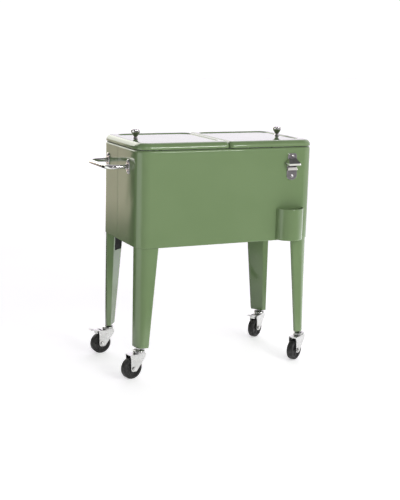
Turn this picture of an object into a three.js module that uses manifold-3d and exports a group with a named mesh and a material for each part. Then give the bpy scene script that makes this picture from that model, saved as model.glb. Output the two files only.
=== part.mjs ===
// Rolling patio cooler cart: an insulated steel chest on four tapered legs with swivel casters.
// Millimetres, +Z up, X along the front, Y from the front to the back.
import * as THREE from "three";
import { mergeVertices } from "three/addons/utils/BufferGeometryUtils.js";
import Module from "manifold-3d";

const wasm = await Module();
wasm.setup();

// ---------------------------------------------------------------- driving dimensions
const BODY = { width: 662, depth: 354, corner: 45, bottom: 449, top: 775.8, edge: 8 };
const SHEET = 1.2; // thickness of the shell and lid steel
const TOUCH = 0.3; // gap kept between pieces that touch
const FLANGE = 18; // width of the shell's inward top flange

const TUB = { width: 598, depth: 290, corner: 30, floor: 479, rimInset: 10, rimZ: 776.1, rimTop: 777 };
const BEAM = { halfWidth: 30, halfLength: 144.4, bottom: 757, wall: 1.2 };
const DRAIN = { x: 200, y: 60, bore: 6, tube: 8.5, end: 436, strainerHole: 0.7 };

const LID = { bottom: 778.5, top: 800, edge: 14, splitEdge: 8.5, gap: 0.7, splitCorner: 14 };
const RECESS = { depth: 2.5, split: 18, end: 37, corner: 32 };
const PLUG = { split: 33, end: 296, depth: 282, bottom: 767, corner: 25, wall: 1.2 };
const KNOB = { x: 275, height: 33, head: 16, neck: 6.8, foot: 9 };

const HINGE = { x: 8, z: 793, pin: 2, bore: 2.3, knuckle: 4.5, length: 274 };
const FIXED_EARS = [-120, -40, 40, 120]; // places along the hinge, from the middle
const EAR_THICKNESS = 4;

const HANDLE = { z: 714, front: -82, back: 112, reach: 76, radius: 7, bend: 34 };
const HANDLE_PLATE = { height: 50, width: 25, thickness: 3, boss: 9.5, bossLength: 9, screwPitch: 17 };

const OPENER = { x: 241, top: 746, bottom: 662, plate: 3, tongue: 42 };
const HOOD = { lip: 714, lipWidth: 46, width: 60, crestWidth: 26, reach: 25, wall: 4 };
const BIN = { x: 238.5, halfWidth: 51.5, reach: 46, bottom: 452, top: 563, wall: 1.2 };

const LEG = {
  top: 448.6,
  bottom: 104,
  inset: 2,
  frontWidth: 91,
  sideWidth: 49,
  returnWidth: 27,
  corner: 44,
  fold: 7,
  taper: 0.59,
  wall: 1.5,
  floor: 3,
};
const WINDOW_HEIGHT = 66; // opening in the leg's inner face, below its top

const CASTER = { x: 313.8, y: 153.7, trail: 30, mountTop: 103.7, raceZ: 92.6 };
const WHEEL = { radius: 37.5, width: 24, bore: 4.4, segments: 24 };
const FORK = { inside: 29, wall: 2, crownTop: 86, crownWall: 2.5, race: 20 };
const AXLE_RADIUS = 4;
const LEVER = { pivotX: 38, pivotZ: 79.6, pin: 2, width: 25 };
const HEADINGS = { front_left: 193, front_right: 210, rear_left: 187, rear_right: 212 }; // degrees from +X

const FRONT_FACE = -BODY.depth / 2;
const LEFT_FACE = -BODY.width / 2;
const CURVE_STEPS = 3; // half the number of flats in a rounded corner
const ROUND_STEPS = 12; // flats around a small turned piece

// ---------------------------------------------------------------- materials
function finish(color, roughness, metalness) {
  return new THREE.MeshStandardMaterial({ color, roughness, metalness });
}
const GREEN = finish(0x7a9166, 0.25, 0.0);
const CHROME = finish(0xd6d6d4, 0.12, 1.0);
const ZINC = finish(0xdcdcda, 0.3, 0.9);
const BLACK = finish(0x1d1e1d, 0.5, 0.0);
const RUBBER = finish(0x2b2b2a, 0.75, 0.0);
const FOAM = finish(0xe9dfb8, 0.95, 0.0);
const WHITE = finish(0xe8e8e4, 0.4, 0.0);
const GALVANISED = finish(0xb4b8ba, 0.4, 0.85);

// ---------------------------------------------------------------- outlines
// A convex polygon with each corner rounded, pulled in on all sides by inset.
// Points run anticlockwise; each is [x, y, radius].
function roundedPolygon(points, inset = 0) {
  const count = points.length;
  const moved = points.map((point, i) => {
    const before = new THREE.Vector2(...points[(i + count - 1) % count]);
    const here = new THREE.Vector2(...point);
    const after = new THREE.Vector2(...points[(i + 1) % count]);
    const inward = here.clone().sub(before).normalize();
    const outward = after.clone().sub(here).normalize();
    const turn = inward.cross(outward);
    const along = outward.clone().sub(inward).multiplyScalar(inset / turn);
    return { at: here.add(along), radius: Math.max(point[2] - inset, 0.4) };
  });
  const shape = new THREE.Shape();
  moved.forEach(({ at, radius }, i) => {
    const toBefore = moved[(i + count - 1) % count].at.clone().sub(at).normalize();
    const toAfter = moved[(i + 1) % count].at.clone().sub(at).normalize();
    const half = Math.acos(THREE.MathUtils.clamp(toBefore.dot(toAfter), -1, 1)) / 2;
    const bisector = toBefore.clone().add(toAfter).normalize();
    const centre = at.clone().addScaledVector(bisector, radius / Math.sin(half));
    const start = at.clone().addScaledVector(toBefore, radius / Math.tan(half)).sub(centre);
    const end = at.clone().addScaledVector(toAfter, radius / Math.tan(half)).sub(centre);
    shape.absarc(centre.x, centre.y, radius, start.angle(), end.angle(), false);
  });
  shape.closePath();
  return shape;
}

function rectangle(x0, x1, y0, y1, radius = 0.5, inset = 0) {
  const radii = Array.isArray(radius) ? radius : [radius, radius, radius, radius];
  const corners = [
    [x0, y0, radii[0]],
    [x1, y0, radii[1]],
    [x1, y1, radii[2]],
    [x0, y1, radii[3]],
  ];
  return roundedPolygon(corners, inset);
}

function bodyOutline(inset = 0) {
  return rectangle(LEFT_FACE, -LEFT_FACE, FRONT_FACE, -FRONT_FACE, BODY.corner, inset);
}

function tubOutline(inset = 0) {
  return rectangle(-TUB.width / 2, TUB.width / 2, -TUB.depth / 2, TUB.depth / 2, TUB.corner, inset);
}

// ---------------------------------------------------------------- solids
function slab(shape, z0, z1, steps = CURVE_STEPS) {
  const options = { depth: z1 - z0, bevelEnabled: false, curveSegments: steps };
  return new THREE.ExtrudeGeometry(shape, options).translate(0, 0, z0);
}

// A slab whose top edge is rounded.
function domedSlab(shape, z0, z1, edge, edgeSteps = 2) {
  const options = {
    depth: z1 - z0 - edge,
    bevelEnabled: true,
    bevelThickness: edge,
    bevelSize: edge,
    bevelOffset: -edge,
    bevelSegments: edgeSteps,
    curveSegments: CURVE_STEPS,
  };
  const both = new THREE.ExtrudeGeometry(shape, options).translate(0, 0, z0);
  return cut(both, box(-900, 900, -900, 900, z0 - 2 * edge, z0));
}

function box(x0, x1, y0, y1, z0, z1) {
  const geometry = new THREE.BoxGeometry(x1 - x0, y1 - y0, z1 - z0);
  return geometry.translate((x0 + x1) / 2, (y0 + y1) / 2, (z0 + z1) / 2);
}

// A cylinder from z0 to z1, standing on the XY plane.
function post(radius, z0, z1, steps = ROUND_STEPS, x = 0, y = 0) {
  const geometry = new THREE.CylinderGeometry(radius, radius, z1 - z0, steps);
  return geometry.rotateX(Math.PI / 2).translate(x, y, (z0 + z1) / 2);
}

// A cylinder along Y, centred at x and z.
function rod(radius, x, z, y0, y1, steps = ROUND_STEPS) {
  const geometry = new THREE.CylinderGeometry(radius, radius, y1 - y0, steps);
  return geometry.translate(x, (y0 + y1) / 2, z);
}

// A turned piece about Z; profile points are [radius, z], anticlockwise with the axis on the left.
function turned(profile, steps = ROUND_STEPS) {
  const points = profile.map(([radius, z]) => new THREE.Vector2(radius, z));
  return new THREE.LatheGeometry(points, steps).rotateX(Math.PI / 2);
}

// A plate with its outline given as [x, z] in a vertical plane, thick from y0 to y1.
function uprightPlate(shape, y0, y1, steps = CURVE_STEPS) {
  const options = { depth: y1 - y0, bevelEnabled: false, curveSegments: steps };
  return new THREE.ExtrudeGeometry(shape, options).rotateX(Math.PI / 2).translate(0, y1, 0);
}

function solid(geometry) {
  const bare = geometry.clone();
  for (const name of ["normal", "uv"]) {
    bare.deleteAttribute(name);
  }
  const merged = mergeVertices(bare, 1e-4);
  const vertProperties = merged.attributes.position.array;
  const triVerts = new Uint32Array(merged.index.array);
  return new wasm.Manifold(new wasm.Mesh({ numProp: 3, vertProperties, triVerts }));
}

function surface(manifold) {
  const { vertProperties, triVerts } = manifold.getMesh();
  const geometry = new THREE.BufferGeometry();
  geometry.setAttribute("position", new THREE.BufferAttribute(vertProperties, 3));
  geometry.setIndex(new THREE.BufferAttribute(triVerts, 1));
  geometry.computeVertexNormals();
  return geometry;
}

function cut(base, ...tools) {
  return surface(tools.reduce((left, tool) => left.subtract(solid(tool)), solid(base)));
}

function join(base, ...others) {
  return surface(others.reduce((sum, other) => sum.add(solid(other)), solid(base)));
}

function common(first, second) {
  return surface(solid(first).intersect(solid(second)));
}

// The mirror image of a geometry across the YZ plane.
function mirrored(geometry) {
  const flipped = geometry.clone().scale(-1, 1, 1);
  const { index } = flipped;
  for (let i = 0; i < index.count; i += 3) {
    const second = index.getX(i + 1);
    index.setX(i + 1, index.getX(i + 2));
    index.setX(i + 2, second);
  }
  flipped.computeVertexNormals();
  return flipped;
}

const cooler = new THREE.Group();

function piece(name, geometry, material, parent = cooler) {
  const mesh = new THREE.Mesh(geometry, material);
  mesh.name = name;
  parent.add(mesh);
  return mesh;
}

// ---------------------------------------------------------------- chest
function outerShell() {
  const outside = domedSlab(bodyOutline(), BODY.bottom, BODY.top, BODY.edge);
  const roof = BODY.top - SHEET;
  const inside = domedSlab(bodyOutline(SHEET), BODY.bottom - 1, roof, BODY.edge - SHEET);
  return cut(outside, inside, slab(bodyOutline(FLANGE), roof - 5, BODY.top + 5));
}

function basePan() {
  const upstand = 12;
  const plate = slab(bodyOutline(SHEET + TOUCH), BODY.bottom + 1, BODY.bottom + 1 + upstand);
  const hollow = slab(bodyOutline(2 * SHEET + TOUCH), BODY.bottom + 1 + SHEET, BODY.bottom + 20);
  const hole = post(DRAIN.tube + TOUCH, BODY.bottom - 5, BODY.bottom + 9, ROUND_STEPS, DRAIN.x, DRAIN.y);
  return cut(plate, hollow, hole);
}

function insulationTub() {
  const bottom = BODY.bottom + 1 + SHEET + 0.4;
  const block = slab(bodyOutline(3.1), bottom, 770);
  const hollow = slab(tubOutline(-TOUCH), TUB.floor - 0.4, 775);
  const hole = post(DRAIN.tube + 0.7, bottom - 5, TUB.floor + 5, ROUND_STEPS, DRAIN.x, DRAIN.y);
  return cut(block, hollow, hole);
}

function innerLiner() {
  const rim = slab(bodyOutline(TUB.rimInset), TUB.rimZ, TUB.rimTop);
  const tub = slab(tubOutline(), TUB.floor, TUB.rimTop);
  const hollow = slab(tubOutline(1), TUB.floor + SHEET, TUB.rimTop + 5);
  const hole = post(DRAIN.tube + TOUCH, TUB.floor - 5, TUB.floor + 5, ROUND_STEPS, DRAIN.x, DRAIN.y);
  return cut(join(rim, tub), hollow, hole);
}

function centerBeam() {
  const { halfWidth, halfLength, bottom, wall } = BEAM;
  const bar = box(-halfWidth, halfWidth, -halfLength + 1, halfLength - 1, bottom, TUB.rimTop);
  const inner = halfWidth - wall;
  const hollow = box(-inner, inner, -halfLength + 4, halfLength - 4, bottom - 5, TUB.rimTop - wall);
  return cut(bar, hollow);
}

// The bore is closed at the top by a strainer with seven small holes.
function drainSpout() {
  const floorTop = TUB.floor + SHEET + TOUCH;
  const { bore, tube, end, strainerHole } = DRAIN;
  const spout = turned([
    [0, floorTop],
    [bore, floorTop],
    [bore, end],
    [tube, end],
    [tube, floorTop],
    [16, floorTop],
    [15, floorTop + 2],
    [0, floorTop + 2],
  ]);
  const ring = [0, 1, 2, 3, 4, 5].map((turn) => (turn * Math.PI) / 3);
  const centres = [[0, 0], ...ring.map((angle) => [4 * Math.cos(angle), 4 * Math.sin(angle)])];
  const holes = centres.map(([x, y]) => post(strainerHole, floorTop - 5, floorTop + 5, 8, x, y));
  return cut(spout, ...holes).translate(DRAIN.x, DRAIN.y, 0);
}

function drainCap() {
  const wall = DRAIN.tube + 0.4;
  const cap = turned([
    [0, DRAIN.end - 5],
    [11, DRAIN.end - 5],
    [12, DRAIN.end - 4],
    [12, DRAIN.end + 8],
    [wall, DRAIN.end + 8],
    [wall, DRAIN.end - 1],
    [0, DRAIN.end - 1],
  ]);
  return cap.translate(DRAIN.x, DRAIN.y, 0);
}

piece("outer_shell", outerShell(), GREEN);
piece("base_pan", basePan(), GREEN);
piece("insulation_tub", insulationTub(), FOAM);
piece("inner_liner", innerLiner(), GALVANISED);
piece("center_beam", centerBeam(), GALVANISED);
piece("drain_spout", drainSpout(), BLACK);
piece("drain_cap", drainCap(), BLACK);

// ---------------------------------------------------------------- lids, drawn for the right half
function lidOutline(inset = 0) {
  const radii = [LID.splitCorner, BODY.corner, BODY.corner, LID.splitCorner];
  return rectangle(LID.gap, -LEFT_FACE, FRONT_FACE, -FRONT_FACE, radii, inset);
}

function recessOutline(grow = 0) {
  const end = -LEFT_FACE - RECESS.end;
  const side = -FRONT_FACE - RECESS.end;
  return rectangle(RECESS.split, end, -side, side, RECESS.corner, -grow);
}

function plugOutline(inset = 0) {
  return rectangle(PLUG.split, PLUG.end, -PLUG.depth / 2, PLUG.depth / 2, PLUG.corner, inset);
}

// One lid's outer form: a small round along the split, a large one along the other edges.
function lidForm(inset, bottom, top) {
  const splitRound = domedSlab(lidOutline(inset), bottom, top, LID.splitEdge - inset);
  const outerRound = domedSlab(bodyOutline(inset), bottom, top, LID.edge - inset, 3);
  return common(splitRound, outerRound);
}

function lidSkin() {
  const panel = LID.top - RECESS.depth;
  const outside = lidForm(0, LID.bottom, LID.top);
  const pocket = slab(recessOutline(), panel, LID.top + 5);
  const panelRoof = panel - SHEET;
  const underRim = lidForm(SHEET, LID.bottom - 1, LID.top - SHEET);
  const belowPanel = slab(recessOutline(SHEET), panelRoof, LID.top + 5);
  const hollow = cut(underRim, belowPanel);
  const wallEnd = LID.gap + 3;
  const lowWall = box(-1, wallEnd, FRONT_FACE + 9, -FRONT_FACE - 9, LID.bottom - 9, LID.bottom + 3.5);
  const notches = FIXED_EARS.map((y) => box(-1, wallEnd, y - 4, y + 4, LID.bottom - 9, HINGE.z));
  return cut(outside, pocket, hollow, lowWall, ...notches);
}

function lidFoam() {
  const roof = LID.top - RECESS.depth - SHEET - 0.4;
  const liftedFloor = LID.bottom + 2;
  const start = 48;
  const sheet = rectangle(start, -LEFT_FACE - 10, FRONT_FACE + 10, -FRONT_FACE - 10, [5, 35, 35, 5]);
  const core = rectangle(start, PLUG.end - 2, -PLUG.depth / 2 + 2, PLUG.depth / 2 - 2, 22);
  return join(slab(sheet, liftedFloor, roof), slab(core, PLUG.bottom + 1.6, liftedFloor + 1));
}

function lidLiner() {
  const low = LID.bottom + 0.7;
  const high = low + 1;
  const side = FRONT_FACE + SHEET + 0.6;
  const cover = rectangle(16, -LEFT_FACE - SHEET - 0.6, side, -side, [6, 43, 43, 6]);
  const hollow = slab(plugOutline(PLUG.wall), PLUG.bottom + PLUG.wall, high + 5);
  return cut(join(slab(cover, low, high), slab(plugOutline(), PLUG.bottom, high)), hollow);
}

function lidGasket() {
  const low = TUB.rimTop + TOUCH;
  const high = LID.bottom + 0.7 - TOUCH;
  const outer = rectangle(23, 308, -154, 154, [8, 36, 36, 8]);
  return cut(slab(outer, low, high), slab(plugOutline(-1), low - 5, high + 5));
}

function hingeLeaf() {
  const high = LID.top - RECESS.depth - SHEET - TOUCH;
  const low = high - 1.5;
  const half = HINGE.length / 2;
  const ears = FIXED_EARS.map((y) => {
    const from = y + EAR_THICKNESS / 2 + 0.6;
    const disc = rod(HINGE.knuckle - 0.4, HINGE.x, HINGE.z, from, from + EAR_THICKNESS);
    const arm = box(HINGE.x, 22, from, from + EAR_THICKNESS, high - 5, high);
    return join(disc, arm);
  });
  const plate = box(18.5, 45, -half + 6, half - 4, low, high);
  const bore = rod(HINGE.bore, HINGE.x, HINGE.z, -half, half);
  return cut(join(plate, ...ears), bore);
}

function hingeBracket() {
  const low = TUB.rimTop + TOUCH;
  const half = HINGE.length / 2;
  const left = HINGE.x - 0.5;
  const ears = FIXED_EARS.map((y) => {
    const from = y - EAR_THICKNESS / 2;
    const disc = rod(HINGE.knuckle, HINGE.x, HINGE.z, from, from + EAR_THICKNESS);
    const stem = box(left, left + 5, from, from + EAR_THICKNESS, low, HINGE.z);
    return join(disc, stem);
  });
  const strip = box(3, 20, -half + 8, half - 8, low, low + 1.2);
  return cut(join(strip, ...ears), rod(HINGE.bore, HINGE.x, HINGE.z, -half, half));
}

function hingePin() {
  const half = HINGE.length / 2;
  const shaft = rod(HINGE.pin, HINGE.x, HINGE.z, -half, half);
  const headAt = FIXED_EARS[0] - EAR_THICKNESS / 2 - 3;
  return join(shaft, rod(3.4, HINGE.x, HINGE.z, headAt - 2, headAt));
}

function lidKnob() {
  const base = LID.top - RECESS.depth + TOUCH;
  const { height, head, neck, foot } = KNOB;
  const outline = [
    [0, 0],
    [foot, 0],
    [foot, 1.5],
    [neck, 3],
    [neck, 8],
    [head - 1, 22],
    [head, 23.5],
    [head, height - 2],
    [head - 1.5, height - 0.5],
    [0, height],
  ];
  return turned(outline).translate(KNOB.x, 0, base);
}

const LID_PIECES = [
  ["lid_SIDE_skin", lidSkin(), GREEN],
  ["lid_SIDE_foam", lidFoam(), FOAM],
  ["lid_SIDE_liner", lidLiner(), WHITE],
  ["lid_SIDE_gasket", lidGasket(), RUBBER],
  ["lid_SIDE_knob", mergeVertices(lidKnob()), CHROME],
  ["hinge_leaf_SIDE", hingeLeaf(), GALVANISED],
  ["hinge_pin_SIDE", hingePin(), GALVANISED],
  ["hinge_bracket_SIDE", hingeBracket(), GALVANISED],
];
for (const [name, geometry, material] of LID_PIECES) {
  piece(name.replace("SIDE", "right"), geometry, material);
  piece(name.replace("SIDE", "left"), mirrored(geometry), material);
}

// ---------------------------------------------------------------- push handle on the left end
function handleBar() {
  const root = LEFT_FACE - TOUCH - HANDLE_PLATE.thickness - 1;
  const end = LEFT_FACE - HANDLE.reach;
  const { z, front, back, bend, radius } = HANDLE;
  const route = new THREE.CurvePath();
  const at = (x, y) => new THREE.Vector3(x, y, z);
  const corner = (a, b, c) => new THREE.QuadraticBezierCurve3(at(...a), at(...b), at(...c));
  route.add(new THREE.LineCurve3(at(root, front), at(end + bend, front)));
  route.add(corner([end + bend, front], [end, front], [end, front + bend]));
  route.add(new THREE.LineCurve3(at(end, front + bend), at(end, back - bend)));
  route.add(corner([end, back - bend], [end, back], [end + bend, back]));
  route.add(new THREE.LineCurve3(at(end + bend, back), at(root, back)));
  const section = new THREE.Shape().absarc(0, 0, radius, 0, 2 * Math.PI, false);
  return new THREE.ExtrudeGeometry(section, { steps: 26, extrudePath: route, curveSegments: 5 });
}

// An upright oval plate with a socket for the bar's end, drawn at y = 0.
function handleBracket() {
  const { height, width, thickness, boss, bossLength, screwPitch } = HANDLE_PLATE;
  const low = HANDLE.z - height / 2;
  const high = HANDLE.z + height / 2;
  const oval = roundedPolygon([
    [-width / 2, low, width / 2 - 0.5],
    [width / 2, low, width / 2 - 0.5],
    [width / 2, high, width / 2 - 0.5],
    [-width / 2, high, width / 2 - 0.5],
  ]);
  const lift = (geometry) => geometry.rotateZ(Math.PI / 2);
  const seat = -LEFT_FACE + TOUCH;
  const plate = lift(uprightPlate(oval, seat, seat + thickness));
  const along = (radius, from, to, z) => lift(rod(radius, 0, z, from, to));
  const socket = along(boss, seat, seat + thickness + bossLength, HANDLE.z);
  const bore = along(HANDLE.radius + TOUCH, seat + thickness, seat + 30, HANDLE.z);
  const holes = [-screwPitch, screwPitch].map((dz) => along(2.6, seat - 5, seat + 9, HANDLE.z + dz));
  return cut(join(plate, socket), bore, ...holes);
}

// A dome-headed screw with its shank along +X and the head's seat at x = 0.
function domedScrew(headRadius, headHeight, shankRadius, length) {
  const profile = [
    [0, -headHeight],
    [headRadius * 0.55, -headHeight * 0.9],
    [headRadius * 0.88, -headHeight * 0.55],
    [headRadius, 0],
    [shankRadius, 0],
    [shankRadius, length],
    [0, length],
  ];
  return mergeVertices(turned(profile, 12)).rotateY(Math.PI / 2);
}

piece("handle_bar", handleBar(), CHROME);
const plateFront = LEFT_FACE - TOUCH - HANDLE_PLATE.thickness;
for (const [place, y] of [["front", HANDLE.front], ["rear", HANDLE.back]]) {
  piece(`handle_bracket_${place}`, handleBracket(), CHROME).position.y = y;
  for (const [level, dz] of [["upper", HANDLE_PLATE.screwPitch], ["lower", -HANDLE_PLATE.screwPitch]]) {
    const screw = piece(`handle_screw_${place}_${level}`, domedScrew(4.6, 2.6, 2.1, 2.8), CHROME);
    screw.position.set(plateFront - TOUCH, y, HANDLE.z + dz);
  }
}

// ---------------------------------------------------------------- bottle opener
function bottleOpener() {
  const seat = FRONT_FACE - TOUCH;
  const { x, top, bottom, plate, tongue } = OPENER;
  const { lip, lipWidth, width: hoodWidth, crestWidth, reach, wall } = HOOD;
  const back = roundedPolygon([
    [x - tongue / 2, bottom, 16],
    [x + tongue / 2, bottom, 16],
    [x + tongue / 2 - 4, top + 9, 8],
    [x - tongue / 2 + 4, top + 9, 8],
  ]);
  const base = uprightPlate(back, seat - plate, seat);
  const roof = [[0, lip], [reach, lip], [reach, lip + 5], [plate, lip + 25], [0, lip + 25]];
  const inner = reach - wall;
  const under = [[-1, lip - 1], [inner, lip - 1], [inner, lip + 3], [plate, lip + 17], [-1, lip + 17]];
  const sideways = (points, width) => {
    const shape = new THREE.Shape(points.map(([out, z]) => new THREE.Vector2(out, z)));
    const options = { depth: width, bevelEnabled: false };
    const geometry = new THREE.ExtrudeGeometry(shape, options).rotateX(Math.PI / 2).rotateZ(-Math.PI / 2);
    return geometry.translate(x + width / 2, seat, 0);
  };
  const facing = roundedPolygon([
    [x - lipWidth / 2, lip - 2, 1],
    [x + lipWidth / 2, lip - 2, 1],
    [x + hoodWidth / 2, lip + 9, 1],
    [x + crestWidth / 2, lip + 26, 5],
    [x - crestWidth / 2, lip + 26, 5],
    [x - hoodWidth / 2, lip + 9, 1],
  ]);
  const hood = common(sideways(roof, hoodWidth), uprightPlate(facing, seat - 40, seat + 5));
  const hollowed = cut(hood, sideways(under, lipWidth - 2 * wall));
  const tooth = sideways([[0, 700], [9, 702], [9, 705.5], [plate, 707], [0, 707]], tongue - 2);
  const holes = [top, bottom + 14].map((z) => rod(2.6, x, z, seat - 9, seat + 5));
  return cut(join(base, hollowed, tooth), ...holes);
}

piece("bottle_opener", bottleOpener(), CHROME);
const openerFront = FRONT_FACE - TOUCH - OPENER.plate - TOUCH;
for (const [level, z] of [["top", OPENER.top], ["bottom", OPENER.bottom + 14]]) {
  const screw = piece(`opener_screw_${level}`, domedScrew(5.5, 3, 2.1, 2.8), CHROME);
  screw.position.set(OPENER.x, openerFront, z);
  screw.rotation.z = Math.PI / 2;
}

// ---------------------------------------------------------------- cap-catch bin
function capCatcher() {
  const { x, halfWidth, reach, bottom, top, wall } = BIN;
  const seat = FRONT_FACE - TOUCH;
  const radius = (halfWidth ** 2 + reach ** 2) / (2 * reach);
  const centreY = seat - reach + radius;
  const bulge = (r, z0, z1) => post(r, z0, z1, 48, x, centreY);
  const behind = (y, z0, z1) => box(x - 90, x + 90, y, 0, z0, z1);
  const outside = cut(bulge(radius, bottom, top), behind(seat, bottom - 5, top + 5));
  const inside = cut(bulge(radius - wall, bottom + wall, top + 5), behind(seat - wall, bottom, top + 9));
  return cut(outside, inside);
}

piece("cap_catcher", capCatcher(), GREEN);

// ---------------------------------------------------------------- legs, outer corner at 0, 0
const LEG_CORNERS = [
  [0, 0, LEG.corner],
  [LEG.frontWidth, 0, 8],
  [LEG.returnWidth, LEG.sideWidth, LEG.fold],
  [0, LEG.sideWidth, 4],
];

// Narrows a geometry towards the leg's foot, across the front face only.
function taper(geometry) {
  const { position } = geometry.attributes;
  const height = LEG.top - LEG.bottom;
  for (let i = 0; i < position.count; i += 1) {
    const part = (LEG.top - position.getZ(i)) / height;
    position.setX(i, position.getX(i) * (1 - part * (1 - LEG.taper)));
  }
  return geometry;
}

function legTube() {
  const outside = taper(slab(roundedPolygon(LEG_CORNERS), LEG.bottom, LEG.top));
  const inside = taper(slab(roundedPolygon(LEG_CORNERS, LEG.wall), LEG.bottom + LEG.floor, LEG.top + 3));
  const fromX = LEG.returnWidth;
  const run = new THREE.Vector2(LEG.frontWidth - fromX, -LEG.sideWidth);
  const depth = 12;
  const opening = box(7, run.length() - 25, -depth, depth / 2, LEG.top - WINDOW_HEIGHT, LEG.top + 5);
  opening.rotateZ(run.angle()).translate(fromX, LEG.sideWidth, 0);
  return cut(outside, inside, opening);
}

function legSocket() {
  const outline = roundedPolygon(LEG_CORNERS, LEG.wall + TOUCH + 0.4);
  return taper(slab(outline, LEG.top - WINDOW_HEIGHT - 8, LEG.top - 0.6));
}

// ---------------------------------------------------------------- casters, drawn about the swivel axis
// A caster trails towards +X until it is turned to its heading.
function casterMount() {
  const low = CASTER.raceZ;
  return mergeVertices(turned([
    [0, 79],
    [6, 79],
    [6, 80.5],
    [4, 80.5],
    [4, low],
    [21, low],
    [21, low + 4],
    [10, low + 6],
    [10, CASTER.mountTop],
    [0, CASTER.mountTop],
  ]));
}

function forkSide(y0, y1) {
  const { trail } = CASTER;
  const top = FORK.crownTop;
  const outline = roundedPolygon([
    [-19, top, 2],
    [-18, top - 10, 6],
    [trail - 11, 27, 9],
    [trail + 11, 28, 9],
    [trail + 12, 70, 3],
    [trail + 14, top, 2],
  ]);
  return uprightPlate(outline, y0, y1, 2);
}

function fork(braked) {
  const inner = FORK.inside / 2;
  const outer = inner + FORK.wall;
  const top = FORK.crownTop;
  const crownEnd = braked ? 27 : 43;
  const crownPlan = rectangle(-20, crownEnd, -outer, outer, [13, 2, 2, 13]);
  const crown = slab(crownPlan, top - FORK.crownWall, top, 2);
  const race = post(FORK.race, top - 0.5, CASTER.raceZ - 0.5, 16);
  const sides = join(forkSide(-outer, -inner), forkSide(inner, outer));
  const { trail } = CASTER;
  const wheelHoles = rod(AXLE_RADIUS + TOUCH, trail, WHEEL.radius, -outer - 5, outer + 5);
  const leverHoles = rod(LEVER.pin + TOUCH, LEVER.pivotX, LEVER.pivotZ, -outer - 5, outer + 5);
  const pinHole = post(4.4, top - 9, top + 19);
  const seatForRivet = post(6.6, top - 9, 81.2);
  const tools = [wheelHoles, pinHole, seatForRivet];
  if (braked) {
    tools.push(leverHoles);
  }
  return cut(join(crown, race, sides), ...tools);
}

function axleBolt() {
  const outer = FORK.inside / 2 + FORK.wall;
  const { trail } = CASTER;
  const shaft = rod(AXLE_RADIUS, trail, WHEEL.radius, -outer - 5, outer + 3);
  const head = rod(7, trail, WHEEL.radius, outer + TOUCH, outer + 4.5, 6);
  const nut = rod(6.5, trail, WHEEL.radius, -outer - TOUCH - 4, -outer - TOUCH, 6);
  return join(shaft, head, nut);
}

function wheel() {
  const half = WHEEL.width / 2;
  const flat = WHEEL.radius / Math.cos(Math.PI / WHEEL.segments);
  const profile = [
    [WHEEL.bore, half],
    [WHEEL.bore, -half],
    [flat - 3, -half],
    [flat, -half + 4],
    [flat, half - 4],
    [flat - 3, half],
    [WHEEL.bore, half],
  ];
  const tyre = turned(profile, WHEEL.segments).rotateX(Math.PI / 2);
  tyre.rotateY(Math.PI / WHEEL.segments + Math.PI / 2);
  return mergeVertices(tyre).translate(CASTER.trail, 0, WHEEL.radius);
}

function brakeLever() {
  const { pivotX, pivotZ, pin, width } = LEVER;
  const outer = FORK.inside / 2 + FORK.wall;
  const profile = roundedPolygon([
    [pivotX - 8, 82.6, 0.6],
    [pivotX + 4, 82.6, 2],
    [74, 90.5, 1],
    [76, 93, 1],
    [60, 91, 8],
    [pivotX - 6, 85, 0.8],
  ]);
  const tab = uprightPlate(profile, -width / 2, width / 2, 1);
  const hub = rod(4, pivotX, pivotZ, -width / 2, width / 2);
  const shoe = box(pivotX + 4, pivotX + 13, -width / 2 + 3, width / 2 - 3, 75.5, 85);
  const pinRod = rod(pin, pivotX, pivotZ, -outer, outer);
  return join(tab, hub, shoe, pinRod);
}

// ---------------------------------------------------------------- the four corners
for (const [place, heading] of Object.entries(HEADINGS)) {
  const [endName, sideName] = place.split("_");
  const sideX = sideName === "left" ? -1 : 1;
  const sideY = endName === "front" ? -1 : 1;
  const cornerX = sideX * (-LEFT_FACE - LEG.inset);
  const cornerY = sideY * (-FRONT_FACE - LEG.inset);
  const legParts = [
    ["leg", legTube(), GREEN],
    ["leg_socket", legSocket(), BLACK],
  ];
  for (const [name, geometry, material] of legParts) {
    const leg = piece(`${name}_${place}`, geometry, material);
    leg.scale.set(-sideX, -sideY, 1);
    leg.position.set(cornerX, cornerY, 0);
  }

  const at = new THREE.Group();
  at.position.set(sideX * CASTER.x, sideY * CASTER.y, 0);
  at.rotation.z = THREE.MathUtils.degToRad(heading);
  cooler.add(at);
  const braked = endName === "rear";
  piece(`caster_mount_${place}`, casterMount(), ZINC, at);
  piece(`fork_${place}`, fork(braked), ZINC, at);
  piece(`axle_${place}`, axleBolt(), ZINC, at);
  piece(`wheel_${place}`, wheel(), RUBBER, at);
  if (braked) {
    piece(`brake_lever_${place}`, brakeLever(), ZINC, at);
  }
}

// The origin is on the floor under the middle of the whole outline, handle and bin included.
const handleReach = HANDLE.reach + HANDLE.radius;
const binReach = BIN.reach + TOUCH;
cooler.position.set(handleReach / 2, binReach / 2, 0);

export default cooler;
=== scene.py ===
"""Rolling patio cooler cart: sage-green steel chest on four legs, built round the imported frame."""

from math import acos, asin, atan2, cos, pi, radians, sin, sqrt, tan

import bmesh
import bpy
from mathutils import Matrix, Vector


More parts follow.
